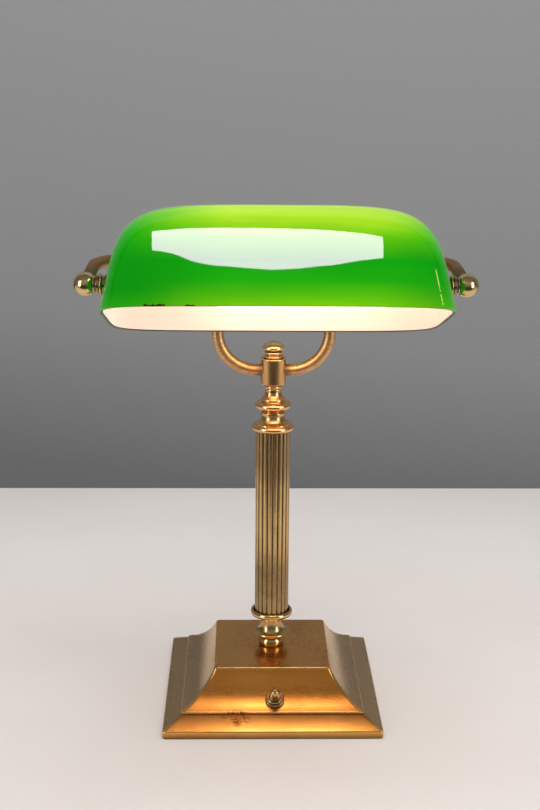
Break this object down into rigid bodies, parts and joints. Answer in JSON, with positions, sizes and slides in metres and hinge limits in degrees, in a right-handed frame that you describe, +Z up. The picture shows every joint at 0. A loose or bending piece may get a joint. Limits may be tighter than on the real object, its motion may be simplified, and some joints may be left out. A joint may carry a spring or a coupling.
{
  "type": "bankers lamp",
  "caption": "Desk lamp with a tilting green glass trough shade on a two-armed brass yoke, a reeded column and a stepped square base with a push switch.",
  "frame": {"origin": "middle of the underside of the felt, on the column's axis", "axes": "+Z up along the column, -Y to the front where the switch is and the shade hangs forward, +X to the viewer's right"},
  "size_m": [0.2666, 0.2164, 0.3795],
  "materials": {
    "aged_brass": "aged, lacquered brass",
    "warm_brass": "warm polished brass",
    "polished_brass": "polished brass",
    "dark_brass": "toned brass",
    "steel": "zinc plated",
    "iron": "rough casting",
    "felt": "green felt",
    "board": "fibreboard",
    "black_plastic": "moulded phenolic",
    "rubber": "soft washer",
    "fibre": "pressed fibre sleeve",
    "green_glass": "cased green glass, white inside",
    "opal_glass": "frosted glass"
  },
  "bodies": {
    "stand": {"base_shell": "aged_brass", "base_felt": "felt", "base_board": "board", "base_ballast": "iron", "base_washer": "steel", "base_nut": "steel", "central_pipe": "steel", "foot_dome": "polished_brass", "foot_bell": "polished_brass", "column_seat": "polished_brass", "column_tube": "aged_brass", "column_cap": "warm_brass", "neck_vase": "warm_brass", "neck_ring": "warm_brass", "switch_body": "black_plastic", "switch_neck": "polished_brass", "switch_collar": "dark_brass", "cord_outlet": "black_plastic"},
    "yoke": {"yoke_hub": "warm_brass", "hub_finial": "warm_brass", "left_arm": "dark_brass", "left_ball": "polished_brass", "left_stud": "steel", "left_ball_collar": "polished_brass", "left_neck_nut": "dark_brass", "left_outer_washer": "polished_brass", "left_spacer": "dark_brass", "left_outer_seal": "rubber", "left_inner_seal": "rubber", "left_inner_washer": "polished_brass", "left_inner_nut": "polished_brass", "right_arm": "dark_brass", "right_ball": "polished_brass", "right_stud": "steel", "right_ball_collar": "polished_brass", "right_neck_nut": "dark_brass", "right_outer_washer": "polished_brass", "right_spacer": "dark_brass", "right_outer_seal": "rubber", "right_inner_seal": "rubber", "right_inner_washer": "polished_brass", "right_inner_nut": "polished_brass", "holder_cap": "polished_brass", "holder_shell": "polished_brass", "holder_liner": "fibre", "holder_core": "black_plastic", "bulb_base": "steel", "bulb_glass": "opal_glass"},
    "shade": {"glass_shade": "green_glass"},
    "button": {"switch_button": "polished_brass"}
  },
  "joints": [
    {"name": "yoke_swivel", "type": "hinge", "parent": "stand", "child": "yoke", "pos_m": [0, 0, 0.2413], "axis": [0, 0, 1], "range_deg": [-170, 170]},
    {"name": "shade_tilt", "type": "hinge", "parent": "yoke", "child": "shade", "pos_m": [0, -0.0675, 0.3254], "axis": [-1, 0, 0], "range_deg": [-11, 90]},
    {"name": "switch_press", "type": "slide", "parent": "stand", "child": "button", "axis": [0, 0.6074, -0.7944], "range_m": [0, 0.0022], "stiffness_N_per_m": 400, "springref_m": -0.001}
  ]
}
